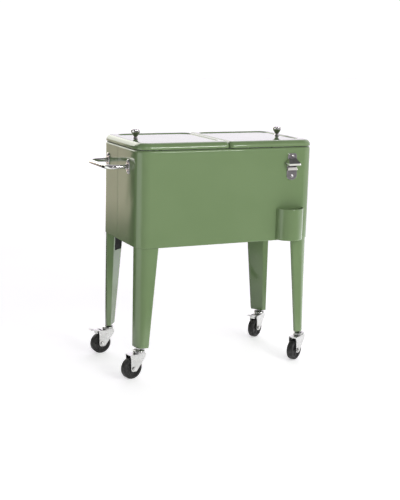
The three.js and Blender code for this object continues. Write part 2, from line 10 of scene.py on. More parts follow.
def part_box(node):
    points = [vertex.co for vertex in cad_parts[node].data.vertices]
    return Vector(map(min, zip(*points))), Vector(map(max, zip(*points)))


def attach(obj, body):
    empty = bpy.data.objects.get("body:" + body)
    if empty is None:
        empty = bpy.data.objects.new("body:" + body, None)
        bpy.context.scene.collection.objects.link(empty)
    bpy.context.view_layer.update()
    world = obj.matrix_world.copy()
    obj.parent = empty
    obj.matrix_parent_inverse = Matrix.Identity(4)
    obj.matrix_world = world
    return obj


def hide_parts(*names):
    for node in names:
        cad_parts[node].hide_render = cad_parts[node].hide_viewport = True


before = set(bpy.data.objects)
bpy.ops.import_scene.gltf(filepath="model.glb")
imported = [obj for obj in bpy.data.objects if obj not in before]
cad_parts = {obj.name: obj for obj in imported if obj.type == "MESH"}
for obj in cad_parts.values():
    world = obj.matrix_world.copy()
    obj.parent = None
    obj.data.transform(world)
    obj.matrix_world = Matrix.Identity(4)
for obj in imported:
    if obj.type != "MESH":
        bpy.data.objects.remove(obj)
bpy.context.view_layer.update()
MM = 0.001


# ------------------------------------------------ places, in millimetres from the chest's middle
def middle(node):
    low, high = (Vector(corner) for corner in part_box(node))
    return (low + high) / 2


CENTRE = Vector((middle("outer_shell").x, middle("outer_shell").y, 0))


def span(node):
    """The lowest and highest corners of a CAD node, in millimetres from the chest's middle."""
    low, high = (Vector(corner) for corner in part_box(node))
    return (low - CENTRE) / MM, (high - CENTRE) / MM


# ------------------------------------------------ mesh helpers
def shift(x=0, y=0, z=0):
    return Matrix.Translation((x, y, z))


def facing(direction):
    """Turns +Z to a direction."""
    return Vector((0, 0, 1)).rotation_difference(Vector(direction)).to_matrix().to_4x4()


LYING_ACROSS = Matrix.Rotation(pi / 2, 4, "X")
LYING_LEFT = Matrix.Rotation(-pi / 2, 4, "Y")


def new_object(name, points, faces, matrix=None):
    mesh = bpy.data.meshes.new(name)
    mesh.from_pydata([tuple(point) for point in points], [], faces)
    work = bmesh.new()
    work.from_mesh(mesh)
    bmesh.ops.remove_doubles(work, verts=work.verts, dist=0.001)
    bmesh.ops.recalc_face_normals(work, faces=work.faces)
    work.to_mesh(mesh)
    work.free()
    if matrix is not None:
        mesh.transform(matrix)
    obj = bpy.data.objects.new(name, mesh)
    bpy.context.scene.collection.objects.link(obj)
    return obj


def apply_modifiers(obj):
    graph = bpy.context.evaluated_depsgraph_get()
    mesh = bpy.data.meshes.new_from_object(obj.evaluated_get(graph))
    old = obj.data
    obj.modifiers.clear()
    obj.data = mesh
    bpy.data.meshes.remove(old)
    return obj


def combine(base, others, operation):
    for other in others:
        modifier = base.modifiers.new("combine", "BOOLEAN")
        modifier.operation = operation
        modifier.solver = "EXACT"
        modifier.object = other
        apply_modifiers(base)
        bpy.data.objects.remove(other)
    return base


def soften(obj, width, segments=2, angle=32):
    modifier = obj.modifiers.new("soften", "BEVEL")
    modifier.width = width
    modifier.segments = segments
    modifier.limit_method = "ANGLE"
    modifier.angle_limit = radians(angle)
    modifier.use_clamp_overlap = True
    return apply_modifiers(obj)


def finish_mesh(obj, angle=38):
    """Brings a piece drawn in millimetres to metres and shades it smooth up to an angle."""
    mesh = obj.data
    mesh.transform(Matrix.Translation(CENTRE) @ Matrix.Scale(MM, 4))
    mesh.shade_smooth()
    mesh.set_sharp_from_angle(angle=radians(angle))
    modifier = obj.modifiers.new("normals", "WEIGHTED_NORMAL")
    modifier.keep_sharp = True
    modifier.weight = 80
    return apply_modifiers(obj)


def copy_of(template, name, matrix):
    obj = bpy.data.objects.new(name, template.data.copy())
    obj.data.transform(matrix)
    if matrix.determinant() < 0:
        obj.data.flip_normals()
    bpy.context.scene.collection.objects.link(obj)
    return obj


def rounded_outline(corners, inset=0.0, steps=6):
    """Points round a convex polygon, anticlockwise; each corner is (x, y, radius)."""
    count = len(corners)
    moved = []
    for i, (x, y, radius) in enumerate(corners):
        here = Vector((x, y))
        inward = (here - Vector(corners[i - 1][:2])).normalized()
        outward = (Vector(corners[(i + 1) % count][:2]) - here).normalized()
        turn = inward.x * outward.y - inward.y * outward.x
        moved.append((here + (outward - inward) * inset / turn, max(radius - inset, 0.3)))
    points = []
    for i, (here, radius) in enumerate(moved):
        before = (moved[i - 1][0] - here).normalized()
        after = (moved[(i + 1) % count][0] - here).normalized()
        half = acos(max(-1.0, min(1.0, before.dot(after)))) / 2
        centre = here + (before + after).normalized() * radius / sin(half)
        start = here + before * radius / tan(half) - centre
        first = atan2(start.y, start.x)
        sweep = pi - 2 * half
        for step in range(steps + 1):
            angle = first + sweep * step / steps
            points.append((centre.x + radius * cos(angle), centre.y + radius * sin(angle)))
    return points


def rectangle(x0, x1, y0, y1, radii):
    return [(x0, y0, radii[0]), (x1, y0, radii[1]), (x1, y1, radii[2]), (x0, y1, radii[3])]


def loft(rings, ends=True, wrap=False):
    """Joins rings of equally many points into a skin; returns points and faces."""
    count = len(rings[0])
    points = [point for ring in rings for point in ring]
    pairs = len(rings) if wrap else len(rings) - 1
    faces = []
    for level in range(pairs):
        low = level * count
        high = (level + 1) % len(rings) * count
        for i in range(count):
            j = (i + 1) % count
            faces.append((low + i, low + j, high + j, high + i))
    if ends and not wrap:
        faces.append(tuple(reversed(range(count))))
        faces.append(tuple(range(len(points) - count, len(points))))
    return points, faces


def level(outline, z):
    return [(x, y, z) for x, y in outline]


def bend(start, end, steps=6):
    """A quarter round from start to end, each (inset, z), leaving start along z."""
    across = end[0] - start[0]
    up = end[1] - start[1]
    turns = [pi / 2 * step / steps for step in range(steps + 1)]
    return [(start[0] + across * (1 - cos(turn)), start[1] + up * sin(turn)) for turn in turns]


def turned(profile, steps=32, ripple=None):
    """A closed turned solid; profile is (radius, z) from one end of the axis to the other."""
    rings = []
    for radius, z in profile:
        ring = []
        for step in range(steps):
            angle = 2 * pi * step / steps
            r, h = ripple(radius, z, angle) if ripple else (radius, z)
            ring.append((r * cos(angle), r * sin(angle), h))
        rings.append(ring)
    return loft(rings, ends=profile[0][0] > 0 or profile[-1][0] > 0)


def tube(route, radius, steps=20):
    """A round bar along a flat route of (x, y, z) points with level tangents."""
    rings = []
    for i, point in enumerate(route):
        here = Vector(point)
        along = Vector(route[min(i + 1, len(route) - 1)]) - Vector(route[max(i - 1, 0)])
        side = along.normalized().cross(Vector((0, 0, 1)))
        ring = []
        for step in range(steps):
            angle = 2 * pi * step / steps
            ring.append(here + side * radius * cos(angle) + Vector((0, 0, radius * sin(angle))))
        rings.append(ring)
    return loft(rings)


def prism(outline, low, high, axes="xzy"):
    """A plate with its outline in two of the axes and its thickness along the third."""
    order = ["xyz".index(axis) for axis in axes]

    def at(u, v, w):
        point = [0, 0, 0]
        for index, value in zip(order, (u, v, w)):
            point[index] = value
        return tuple(point)

    return loft([[at(u, v, w) for u, v in outline] for w in (low, high)])


def block(name, x, y, z):
    outline = [(x[0], y[0]), (x[1], y[0]), (x[1], y[1]), (x[0], y[1])]
    return new_object(name, *prism(outline, *z, axes="xyz"))


def hull(name, points):
    work = bmesh.new()
    for point in points:
        work.verts.new(point)
    made = bmesh.ops.convex_hull(work, input=work.verts)
    spare = {item for item in made["geom_interior"] if isinstance(item, bmesh.types.BMVert)}
    bmesh.ops.delete(work, geom=list(spare), context="VERTS")
    bmesh.ops.dissolve_limit(work, angle_limit=radians(1), verts=work.verts, edges=work.edges)
    mesh = bpy.data.meshes.new(name)
    work.to_mesh(mesh)
    work.free()
    obj = bpy.data.objects.new(name, mesh)
    bpy.context.scene.collection.objects.link(obj)
    return obj


# ------------------------------------------------ materials
class Shading:
    """The nodes of a material or a world."""

    def __init__(self, tree):
        self.nodes = tree.nodes
        self.links = tree.links

    def join(self, source, socket):
        if hasattr(source, "is_output"):
            self.links.new(source, socket)
        else:
            socket.default_value = (*source, 1.0) if isinstance(source, tuple) else source

    def new(self, kind, output=0):
        return self.nodes.new(f"ShaderNode{kind}").outputs[output]

    def spread(self, source, start, end, low=0.0, high=1.0):
        node = self.nodes.new("ShaderNodeMapRange")
        node.interpolation_type = "SMOOTHSTEP"
        ends = (("From Min", start), ("From Max", end), ("To Min", low), ("To Max", high))
        for socket, value in ends:
            node.inputs[socket].default_value = value
        self.links.new(source, node.inputs["Value"])
        return node.outputs["Result"]

    def work_out(self, kind, operation, sources, output="Value"):
        node = self.nodes.new(kind)
        node.operation = operation
        for source, socket in zip(sources, node.inputs):
            self.join(source, socket)
        return node.outputs[output]

    def math(self, operation, first, second):
        return self.work_out("ShaderNodeMath", operation, (first, second))

    def times(self, first, second):
        return self.math("MULTIPLY", first, second)

    def vector(self, operation, *sources, output="Value"):
        return self.work_out("ShaderNodeVectorMath", operation, sources, output)

    def mix(self, factor, first, second):
        node = self.nodes.new("ShaderNodeMix")
        node.data_type = "RGBA"
        for socket, source in ((0, factor), (6, first), (7, second)):
            self.join(source, node.inputs[socket])
        return node.outputs[2]

    def mix_shader(self, factor, first, second):
        node = self.nodes.new("ShaderNodeMixShader")
        for source, socket in zip((factor, first, second), node.inputs):
            self.links.new(source, socket)
        return node.outputs[0]

    def light(self, kind, colour, strength=1.0):
        node = self.nodes.new(f"ShaderNode{kind}")
        self.join(colour, node.inputs["Color"])
        node.inputs["Strength"].default_value = strength
        return node.outputs[0]

    def surface(self, kind, source):
        self.links.new(source, self.nodes.new(f"ShaderNodeOutput{kind}").inputs["Surface"])


class Finish(Shading):
    """A principled material and the nodes that feed it."""

    def __init__(self, name, **constants):
        self.material = bpy.data.materials.new(name)
        self.material.use_nodes = True
        super().__init__(self.material.node_tree)
        self.shader = self.nodes["Principled BSDF"]
        self.coordinates = self.new("TexCoord", "Object")
        for socket, value in constants.items():
            self.shader.inputs[socket.replace("_", " ")].default_value = value

    def noise(self, scale, detail=3.0, stretch=(1, 1, 1)):
        place = self.nodes.new("ShaderNodeMapping")
        place.inputs["Scale"].default_value = stretch
        self.links.new(self.coordinates, place.inputs["Vector"])
        node = self.nodes.new("ShaderNodeTexNoise")
        node.inputs["Scale"].default_value = scale
        node.inputs["Detail"].default_value = detail
        self.links.new(place.outputs["Vector"], node.inputs["Vector"])
        return node.outputs["Fac"]

    def cells(self, scale, output="Color"):
        node = self.nodes.new("ShaderNodeTexVoronoi")
        node.inputs["Scale"].default_value = scale
        self.links.new(self.coordinates, node.inputs["Vector"])
        return node.outputs[output]

    def edges(self, radius, start=0.03, end=0.3):
        """1 along sharp edges, 0 on flat faces."""
        rounded = self.nodes.new("ShaderNodeBevel")
        rounded.samples = 4
        rounded.inputs["Radius"].default_value = radius
        plain = self.new("NewGeometry", "Normal")
        level_with = self.vector("DOT_PRODUCT", rounded.outputs["Normal"], plain)
        return self.spread(self.math("SUBTRACT", 1.0, level_with), start, end)

    def recess_shade(self, distance, start=0.85, end=0.35):
        """1 in corners and under overhangs, 0 in the open: the mask for shade painted into a colour."""
        node = self.nodes.new("ShaderNodeAmbientOcclusion")
        node.samples = 4
        node.inputs["Distance"].default_value = distance
        return self.math("SUBTRACT", 1.0, self.spread(node.outputs["AO"], end, start))

    def colour(self, source):
        self.join(source, self.shader.inputs["Base Color"])

    def roughness(self, source):
        self.join(source, self.shader.inputs["Roughness"])

    def bump(self, *layers):
        """Each layer is (height, depth in metres)."""
        normal = None
        for height, depth in layers:
            node = self.nodes.new("ShaderNodeBump")
            node.inputs["Strength"].default_value = 1.0
            node.inputs["Distance"].default_value = depth
            self.links.new(height, node.inputs["Height"])
            if normal is not None:
                self.links.new(normal, node.inputs["Normal"])
            normal = node.outputs["Normal"]
        self.links.new(normal, self.shader.inputs["Normal"])


def green_paint():
    make = Finish("green_paint", IOR=1.5, Coat_Weight=0.35, Coat_Roughness=0.02, Coat_IOR=1.5)
    broad = make.spread(make.noise(5, 2), 0.35, 0.65)
    speckle = make.spread(make.noise(1400, 2), 0.3, 0.7)
    paint = make.mix(broad, (0.166, 0.247, 0.112), (0.176, 0.258, 0.120))
    paint = make.mix(make.times(speckle, 0.10), paint, (0.215, 0.290, 0.165))
    # Sharp edges turn a lighter green, partly edge wear and partly a painted highlight; the wear also
    # roughens them a little.
    edge_wear_and_glint = make.times(make.edges(0.0008), make.spread(make.noise(55, 5), 0.42, 0.68, 0.1, 0.55))
    make.colour(make.mix(edge_wear_and_glint, paint, (0.40, 0.46, 0.34)))
    smear = make.spread(make.noise(14, 5, (1, 1, 0.35)), 0.3, 0.75, 0.055, 0.09)
    make.roughness(make.math("ADD", smear, make.times(edge_wear_and_glint, 0.2)))
    peel = make.noise(420, 2)
    wave = make.noise(7, 1)
    make.bump((wave, 0.0011), (peel, 0.000012))
    return make.material


def chrome():
    make = Finish("chrome", Metallic=1.0)
    haze = make.spread(make.noise(70, 5), 0.35, 0.75)
    pits = make.spread(make.cells(900, "Distance"), 0.0, 0.12, 1.0, 0.0)
    pits = make.times(pits, make.spread(make.noise(120, 3), 0.55, 0.7))
    plate = make.mix(haze, (0.86, 0.855, 0.84), (0.74, 0.735, 0.72))
    plate = make.mix(make.times(pits, 0.5), plate, (0.42, 0.38, 0.33))
    # Painted shade: the plating turns a violet grey in recesses and under overhangs, such as beneath the
    # knob heads.
    plate = make.mix(make.times(make.recess_shade(0.05, 0.92, 0.5), 0.85), plate, (0.40, 0.345, 0.39))
    make.colour(make.mix(make.times(make.edges(0.0006), 0.4), plate, (0.93, 0.93, 0.92)))
    make.roughness(make.math("ADD", make.times(haze, 0.06), make.math("ADD", 0.05, pits)))
    make.bump((make.noise(260, 3), 0.00001))
    return make.material


def zinc_plate():
    make = Finish("zinc_plate", Metallic=1.0)
    flake = make.spread(make.cells(420), 0.0, 1.0)
    dull = make.spread(make.noise(60, 5), 0.35, 0.7)
    plate = make.mix(flake, (0.76, 0.76, 0.745), (0.66, 0.665, 0.66))
    plate = make.mix(make.times(dull, 0.45), plate, (0.55, 0.545, 0.52))
    # Painted shade: the zinc turns near black in recesses and corners where parts shade each other.
    dark = make.times(make.recess_shade(0.012, 0.85, 0.35), 0.75)
    base = make.mix(make.times(make.edges(0.0007), 0.6), plate, (0.88, 0.88, 0.87))
    make.colour(make.mix(dark, base, (0.13, 0.13, 0.13)))
    make.roughness(make.spread(make.noise(45, 4), 0.3, 0.7, 0.2, 0.36))
    make.bump((make.noise(500, 3), 0.00003))
    return make.material


def galvanised_steel():
    make = Finish("galvanised_steel", Metallic=0.55)
    spangle = make.spread(make.cells(75), 0.0, 1.0)
    stain = make.spread(make.noise(12, 5), 0.4, 0.75)
    sheet = make.mix(spangle, (0.60, 0.62, 0.63), (0.46, 0.48, 0.50))
    sheet = make.mix(make.times(stain, 0.35), sheet, (0.42, 0.42, 0.40))
    make.colour(make.mix(make.times(make.edges(0.001), 0.5), sheet, (0.74, 0.75, 0.75)))
    make.roughness(make.math("ADD", make.times(spangle, 0.16), 0.24))
    make.bump((make.noise(9, 2), 0.0012), (make.noise(600, 2), 0.00002))
    return make.material


def black_plastic():
    make = Finish("black_plastic", IOR=1.45, Specular_IOR_Level=0.05)
    dust = make.spread(make.noise(35, 5), 0.45, 0.75)
    moulded = make.mix(make.times(dust, 0.5), (0.014, 0.014, 0.014), (0.035, 0.035, 0.034))
    make.colour(make.mix(make.times(make.edges(0.0008), 0.5), moulded, (0.07, 0.07, 0.068)))
    make.roughness(make.spread(make.noise(90, 3), 0.3, 0.7, 0.36, 0.52))
    make.bump((make.noise(1100, 2), 0.00003))
    return make.material


def tyre_rubber(name, dark, scuffed):
    make = Finish(name, IOR=1.5)
    dust = make.spread(make.noise(80, 6), 0.42, 0.72)
    mass = make.mix(make.times(dust, 0.45), dark, scuffed)
    make.colour(make.mix(make.times(make.edges(0.0012, 0.02, 0.22), 0.8), mass, scuffed))
    make.roughness(make.spread(make.noise(60, 4), 0.3, 0.7, 0.42, 0.66))
    make.bump((make.noise(700, 3), 0.00006))
    return make.material


def foam():
    make = Finish("foam", IOR=1.4)
    aged = make.spread(make.noise(18, 5), 0.35, 0.7)
    make.colour(make.mix(aged, (0.80, 0.73, 0.50), (0.70, 0.60, 0.36)))
    make.roughness(make.spread(make.noise(200, 2), 0.3, 0.7, 0.8, 0.95))
    make.bump((make.cells(900, "Distance"), 0.0004), (make.noise(90, 4), 0.0006))
    return make.material


def white_plastic():
    make = Finish("white_plastic", IOR=1.48)
    soil = make.spread(make.noise(22, 6), 0.45, 0.8)
    shell = make.mix(make.times(soil, 0.4), (0.80, 0.80, 0.78), (0.68, 0.67, 0.62))
    make.colour(make.mix(make.times(make.edges(0.0012), 0.3), shell, (0.86, 0.86, 0.85)))
    make.roughness(make.spread(make.noise(70, 3), 0.3, 0.7, 0.3, 0.42))
    make.bump((make.noise(6, 1), 0.001), (make.noise(800, 2), 0.00003))
    return make.material


FINISHES = {
    "green_paint": green_paint(),
    "chrome": chrome(),
    "zinc_plate": zinc_plate(),
    "galvanised_steel": galvanised_steel(),
    "black_plastic": black_plastic(),
    "wheel_rubber": tyre_rubber("wheel_rubber", (0.008, 0.008, 0.008), (0.062, 0.060, 0.058)),
    "rubber": tyre_rubber("rubber", (0.02, 0.02, 0.02), (0.06, 0.06, 0.058)),
    "foam": foam(),
    "white_plastic": white_plastic(),
}


def add_piece(obj, body, slot, *nodes):
    obj.data.materials.clear()
    obj.data.materials.append(FINISHES[slot])
    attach(obj, body)
    if nodes:
        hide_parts(*nodes)
    return obj


# ------------------------------------------------ chest
SHEET = 1.2
CORNER = 45
TOP_EDGE = 8
SEAM_Y = 20.2
SHELL_LOW, SHELL_HIGH = span("outer_shell")


def shell_ring(inset, z, groove=0.0):
    """A level ring of the shell, with the sheet's lap seam a little behind the middle of the left end."""
    corners = rectangle(SHELL_LOW.x, SHELL_HIGH.x, SHELL_LOW.y, SHELL_HIGH.y, [CORNER] * 4)
    outline = rounded_outline(corners, inset, 12)
    sag = 0.7 if groove else 0
    left = SHELL_LOW.x + inset + sag
    seam = [(left, SEAM_Y + 1.5), (left + groove, SEAM_Y + 1.0), (left + groove, SEAM_Y - 1.0)]
    return level(outline + [*seam, (left - sag / 2, SEAM_Y - 1.3)], z)


def outer_shell():
    bottom = SHELL_LOW.z
    top = SHELL_HIGH.z
    lap = 1.3
    rings = [shell_ring(14, bottom + 0.9), shell_ring(14, bottom), shell_ring(2.6, bottom)]
    for inset, z in reversed(bend((0, bottom + 2.6), (2.6, bottom), 4)[:-1]):
        rings.append(shell_ring(inset, z, lap))
    for inset, z in bend((0, top - TOP_EDGE), (TOP_EDGE, top), 8):
        rings.append(shell_ring(inset, z, lap * (1 - inset / TOP_EDGE)))
    rings += [shell_ring(17.4, top), shell_ring(18, top - 0.5), shell_ring(17.6, top - SHEET)]
    under = bend((SHEET, top - TOP_EDGE), (TOP_EDGE, top - SHEET), 6)
    rings += [shell_ring(inset, z) for inset, z in reversed(under)]
    rings += [shell_ring(SHEET, bottom + 2.6), shell_ring(1.5, bottom + 1.3), shell_ring(2.6, bottom + 0.9)]
    return finish_mesh(new_object("shell_wrap", *loft(rings, wrap=True)))


add_piece(outer_shell(), "cabinet", "green_paint", "outer_shell")


SPOUT_BORE = 8.8


def inner_liner():
    low, high = span("inner_liner")
    half_x, half_y = 299, 145

    def rim(inset, z):
        plan = rectangle(low.x, high.x, low.y, high.y, [35] * 4)
        return level(rounded_outline(plan, inset, 8), z)

    def tub(inset, z):
        plan = rectangle(-half_x, half_x, -half_y, half_y, [30] * 4)
        return level(rounded_outline(plan, inset, 8), z)

    rings = [rim(20, high.z), rim(0.5, high.z), rim(0, high.z - 0.4), rim(0.5, high.z - 0.9)]
    rings += [tub(0.4, high.z - 0.9), tub(0, high.z - 3)]
    outside = bend((0, low.z + 10), (10, low.z), 5)
    rings += [tub(inset, z) for inset, z in outside]
    inside = bend((SHEET, low.z + 11), (11, low.z + SHEET), 5)
    rings += [tub(inset, z) for inset, z in reversed(inside)]
    rings += [tub(SHEET, high.z - 3), tub(-0.2, high.z - 0.5), tub(-1.5, high.z)]
    half = len(outside) + 6
    count = len(rings[0])
    points, faces = loft(rings, ends=False, wrap=True)
    first = (half - 1) * count
    faces = [face for face in faces if not (face[0] // count == half - 1 and face[2] // count == half)]
    faces.append(tuple(range(first, first + count)))
    faces.append(tuple(range(first + count, first + 2 * count)))
    liner = new_object("tub_liner", points, faces)
    spout_low, spout_high = span("drain_spout")
    across = (spout_low + spout_high) / 2
    bore = turned([(SPOUT_BORE, low.z - 5), (SPOUT_BORE, low.z + 9)], 24)
    drill = new_object("drill", *bore, shift(across.x, across.y))
    return finish_mesh(combine(liner, [drill], "DIFFERENCE"))


add_piece(inner_liner(), "cabinet", "galvanised_steel", "inner_liner")


def drain_cap():
    low, high = span("drain_cap")
    across = (low + high) / 2
    outside = [(0, low.z), (9, low.z), (10.8, low.z + 0.4), (12, low.z + 1.6), (12, high.z - 1)]
    outside += [(11.4, high.z), (9.2, high.z)]
    inside = [(8.9, high.z - 0.5), (8.9, low.z + 4), (0, low.z + 4)]
    ribs, rib_depth = 18, 0.55

    def grip(radius, z, angle):
        sunk = rib_depth * (1 - abs(cos(ribs / 2 * angle))) if radius > 11.3 else 0
        return radius - sunk, z

    cap = turned(outside + inside, 72, grip)
    return finish_mesh(new_object("drain_cap_body", *cap, shift(across.x, across.y)))


add_piece(drain_cap(), "drain_cap", "black_plastic", "drain_cap")


# ------------------------------------------------ lids
LID_EDGE = 19
SPLIT_EDGE = 8.5
SPLIT_CORNER = 14
RECESS_RIM = 37
SPLIT_RIM = 17.3
STEP_DOWN = [(1.6, 0), (1.3, 0.12), (0.9, 0.5), (0.5, 1.25), (0.1, 2.0), (-0.4, 2.38), (-1.0, 2.5)]
STEP_DOWN += [(-6, 2.5)]


def lid_span(node, side):
    """The box of a lid part as on the right half, which both halves are drawn as."""
    low, high = span(node)
    if side == "left":
        low.x, high.x = -high.x, -low.x
    return low, high


def to_its_side(obj, side):
    if side == "left":
        obj.data.transform(Matrix.Scale(-1, 4, (1, 0, 0)))
        obj.data.flip_normals()
    return finish_mesh(obj)


def lid_skin(side):
    low, high = lid_span(f"lid_{side}_skin", side)
    inner, outer = low.x, high.x
    front, back = low.y, high.y
    bottom, top = low.z, high.z
    sunk = (inner + SPLIT_RIM, outer - RECESS_RIM, front + RECESS_RIM, back - RECESS_RIM)
    recess = rectangle(*sunk, [32] * 4)

    def round_lid(inset, z, skin=0.0):
        """A level ring pulled in by inset on three sides and, with a tighter round, along the split."""
        rise = z - (top - SPLIT_EDGE)
        radius = SPLIT_EDGE - skin
        drawn_in = min(inset, skin + (radius - sqrt(max(radius**2 - rise**2, 0)) if rise > 0 else 0))
        split = max(drawn_in, skin)
        near, far = SPLIT_CORNER - split, CORNER - inset
        box = (inner + split, outer - inset, front + inset, back - inset)
        return level(rounded_outline(rectangle(*box, [near, far, far, near]), 0, 10), z)

    def round_recess(grow, z):
        return level(rounded_outline(recess, -grow, 10), z)

    rings = [round_recess(grow, top - drop) for grow, drop in reversed(STEP_DOWN)]
    rings += [round_lid(inset, z) for inset, z in reversed(bend((0, top - LID_EDGE), (LID_EDGE, top), 8))]
    rings += [round_lid(0, bottom + 0.6), round_lid(0.25, bottom + 0.1, 0.25)]
    rings += [round_lid(0.95, bottom + 0.1, 0.95), round_lid(SHEET, bottom + 0.6, SHEET)]
    roof = bend((SHEET, top - LID_EDGE), (LID_EDGE, top - SHEET), 7)
    rings += [round_lid(inset, z, SHEET) for inset, z in roof]
    rings += [round_recess(1.9, top - SHEET), round_recess(0.6, top - 3.4), round_recess(-6, top - 3.7)]
    skin = new_object(f"lid_{side}_cover", *loft(rings))
    wall = (-2, inner + 3)
    cutters = [block("low_wall", wall, (front + 9, back - 9), (bottom - 9, bottom + 3.5))]
    for place in (-120, -40, 40, 120):
        cutters.append(block("notch", wall, (place - 4, place + 4), (bottom - 9, bottom + 14.5)))
    return to_its_side(combine(skin, cutters, "DIFFERENCE"), side)


def lid_liner(side):
    low, high = lid_span(f"lid_{side}_liner", side)
    plan = rectangle(low.x, high.x, low.y, high.y, [6, 43, 43, 6])
    plug = rectangle(33, 296, -141, 141, [25] * 4)

    def round_plan(inset, z):
        return level(rounded_outline(plan, inset, 8), z)

    def round_plug(inset, z):
        return level(rounded_outline(plug, inset, 8), z)

    top, sheet_low = high.z, high.z - 1
    rings = [round_plug(inset, z) for inset, z in reversed(bend((1.2, low.z + 6.2), (6.2, low.z + 1.2), 4))]
    rings += [round_plug(1.2, top - 1), round_plug(0.2, top), round_plan(0.4, top)]
    rings += [round_plan(0, top - 0.5), round_plan(0.4, sheet_low)]
    rings += [round_plug(-1.2, sheet_low), round_plug(0, sheet_low - 1.2)]
    rings += [round_plug(inset, z) for inset, z in bend((0, low.z + 5), (5, low.z), 5)]
    rings += [round_plug(16, low.z), round_plug(17.5, low.z + 0.8), round_plug(40, low.z + 0.8)]
    return to_its_side(new_object(f"lid_{side}_inner_tray", *loft(rings)), side)


def lid_knob(side):
    low, high = span(f"lid_{side}_knob")
    across = (low + high) / 2
    tall = high.z - low.z
    head = (high.x - low.x) / 2
    foot = [(0, 0), (8.6, 0), (9, 0.4), (9, 0.9), (8.5, 1.4), (7.9, 2.6), (6.9, 6.0), (6.0, 7.0)]
    cup = [(6.3, 8.0), (6.9, 9.0), (8.0, 10.4), (head - 1.5, 20.2), (head - 0.3, 22.3), (head, 23.6)]
    crown = [(head - 0.1, tall - 5), (head - 0.9, tall - 1.8), (head - 1.8, tall - 0.5), (head - 3.2, tall)]
    profile = foot + cup + crown + [(head - 5.5, tall - 0.7), (3, tall - 1.0), (0, tall - 1.0)]
    place = shift(across.x, across.y, low.z)
    return finish_mesh(new_object(f"lid_{side}_pull", *turned(profile, 48), place), 40)


for side in ("left", "right"):
    body = f"lid_{side}"
    add_piece(lid_skin(side), body, "green_paint", f"lid_{side}_skin")
    add_piece(lid_liner(side), body, "white_plastic", f"lid_{side}_liner")
    add_piece(lid_knob(side), body, "chrome", f"lid_{side}_knob")


# ------------------------------------------------ handle
def handle_bar():
    low, high = span("handle_bar")
    radius = (high.z - low.z) / 2
    z = (low.z + high.z) / 2
    end, front, back = low.x + radius, low.y + radius, high.y - radius
    turn = 32
    steps = 12
    angles = [pi / 2 * step / steps for step in range(steps + 1)]
    halfway = (high.x + end + turn) / 2
    route = [(high.x, front, z), (halfway, front, z)]
    route += [(end + turn - turn * sin(a), front + turn - turn * cos(a), z) for a in angles]
    route.append((end, (front + back) / 2, z))
    route += [(end + turn - turn * cos(a), back - turn + turn * sin(a), z) for a in angles]
    route += [(halfway, back, z), (high.x, back, z)]
    return finish_mesh(new_object("push_bar", *tube(route, radius, 24)), 50)


add_piece(handle_bar(), "cabinet", "chrome", "handle_bar")


def screw_hole(matrix):
    return new_object("hole", *turned([(2.6, -5), (2.6, 9)], 16), matrix)


def handle_bracket(place):
    low, high = span(f"handle_bracket_{place}")
    across = (low + high) / 2
    wide, tall = (high.y - low.y) / 2, (high.z - low.z) / 2
    oval = rectangle(-wide, wide, -tall, tall, [wide - 0.4] * 4)
    rings = [[(x, u, v) for u, v in rounded_outline(oval, inset, 8)] for inset, x in (
        (0, 0), (0, -1.6), (0.35, -2.3), (1.1, -2.9), (2.0, -3.0))]
    plate = new_object(f"handle_plate_{place}", *loft(rings))
    collar = [(0, 1), (9.5, 1), (9.5, 3.4), (9.2, 5.6), (9.1, 9.5), (8.8, 11.3), (8.3, 12), (7.4, 12)]
    collar += [(7.25, 11), (7.25, 3.2), (0, 3.2)]
    combine(plate, [new_object("socket", *turned(collar, 36), LYING_LEFT)], "UNION")
    combine(plate, [screw_hole(shift(z=up) @ LYING_LEFT) for up in (-17, 17)], "DIFFERENCE")
    plate.data.transform(shift(high.x, across.y, across.z))
    return finish_mesh(plate)


def cross_screw(name, head, tall):
    """A domed screw with a cross recess, its head up +Z from the seat at 0."""
    shank, length = 2.1, 2.8
    dome = [(head * cos(a), 0.5 + (tall - 0.5) * sin(a)) for a in (0, 0.3, 0.6, 0.9, 1.2, 1.45)]
    profile = [(0, -length), (shank, -length), (shank, 0), (head, 0), *dome, (0, tall)]
    screw = new_object(name, *turned(profile, 28))
    slots = []
    first_turn = 0.4
    for turn in (first_turn, first_turn + pi / 2):
        wedge = [(side * half, z) for half, z in ((head * 0.55, tall + 1), (head * 0.2, tall - 1.5))
                 for side in (-1, 1)]
        arm = hull("slot", [(x, y, z) for x, z in wedge for y in (-head * 0.1, head * 0.1)])
        arm.data.transform(Matrix.Rotation(turn, 4, "Z"))
        slots.append(arm)
    return combine(screw, slots, "DIFFERENCE")


for place in ("front", "rear"):
    add_piece(handle_bracket(place), "cabinet", "chrome", f"handle_bracket_{place}")
    for row in ("upper", "lower"):
        node = f"handle_screw_{place}_{row}"
        low, high = span(node)
        across = (low + high) / 2
        screw = cross_screw(f"plate_screw_{place}_{row}", 4.6, 2.6)
        screw.data.transform(shift(low.x + 2.6, across.y, across.z) @ facing((-1, 0, 0)))
        add_piece(finish_mesh(screw), "cabinet", "chrome", node)


